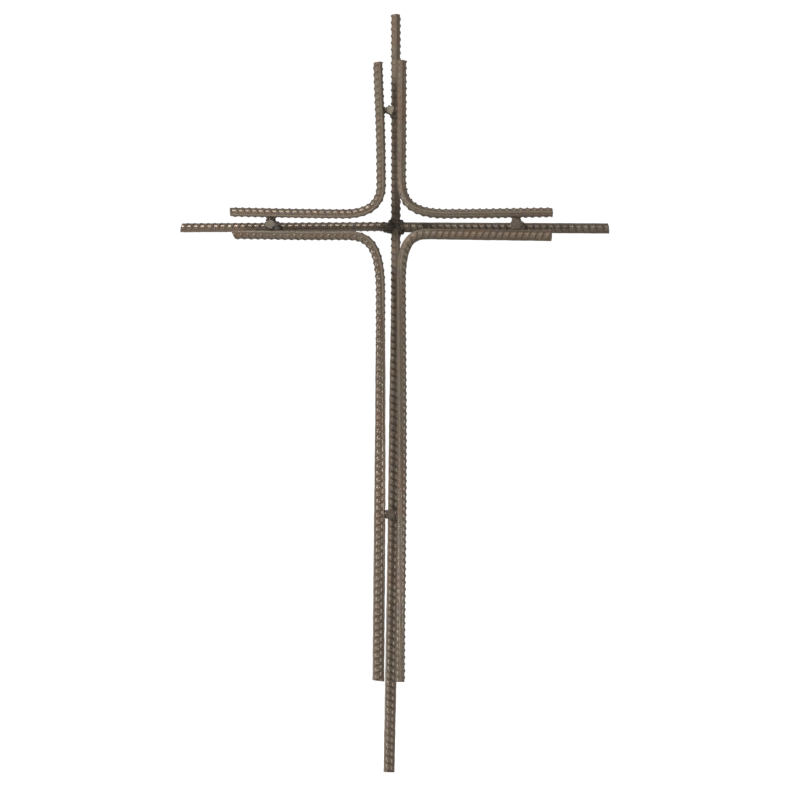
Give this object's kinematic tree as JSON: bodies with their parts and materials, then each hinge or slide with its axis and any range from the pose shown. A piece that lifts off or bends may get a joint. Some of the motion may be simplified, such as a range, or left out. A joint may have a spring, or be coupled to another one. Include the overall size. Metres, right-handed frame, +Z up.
{
  "type": "welded steel bar cross",
  "caption": "Slim memorial cross welded from ribbed steel bar: a long upright with two arms, and bent bars held in front of it by short pegs that outline the cross in each corner.",
  "frame": {"origin": "centre of the upright's flat-cut foot end, which goes into the stone, socket or ground", "axes": "+Z up along the upright, +X along the right arm as seen from the front, -Y towards the viewer: the bent bars and the pegs' cut faces are on the -Y side"},
  "size_m": [0.3812, 0.0336, 0.6616],
  "materials": {
    "bar": "brown patina with a satin lacquer, darker between the ribs, lighter on the rib crests",
    "peg": "sawn bar end under the same brown patina, matt",
    "weld": "dark brown, lumpy weld metal under the same patina"
  },
  "bodies": {
    "root": {"upright": "bar", "arm_left": "bar", "arm_right": "bar", "corner_bar_upper_left": "bar", "corner_bar_upper_right": "bar", "corner_bar_lower_left": "bar", "corner_bar_lower_right": "bar", "peg_top": "peg", "peg_left": "peg", "peg_right": "peg", "peg_bottom": "peg", "crossing_weld_left": "weld", "crossing_weld_right": "weld", "peg_top_root_weld": "weld", "peg_top_side_weld_1": "weld", "peg_top_side_weld_2": "weld", "peg_left_root_weld": "weld", "peg_left_side_weld_1": "weld", "peg_left_side_weld_2": "weld", "peg_right_root_weld": "weld", "peg_right_side_weld_1": "weld", "peg_right_side_weld_2": "weld", "peg_bottom_root_weld": "weld", "peg_bottom_side_weld_1": "weld", "peg_bottom_side_weld_2": "weld"}
  },
  "joints": []
}
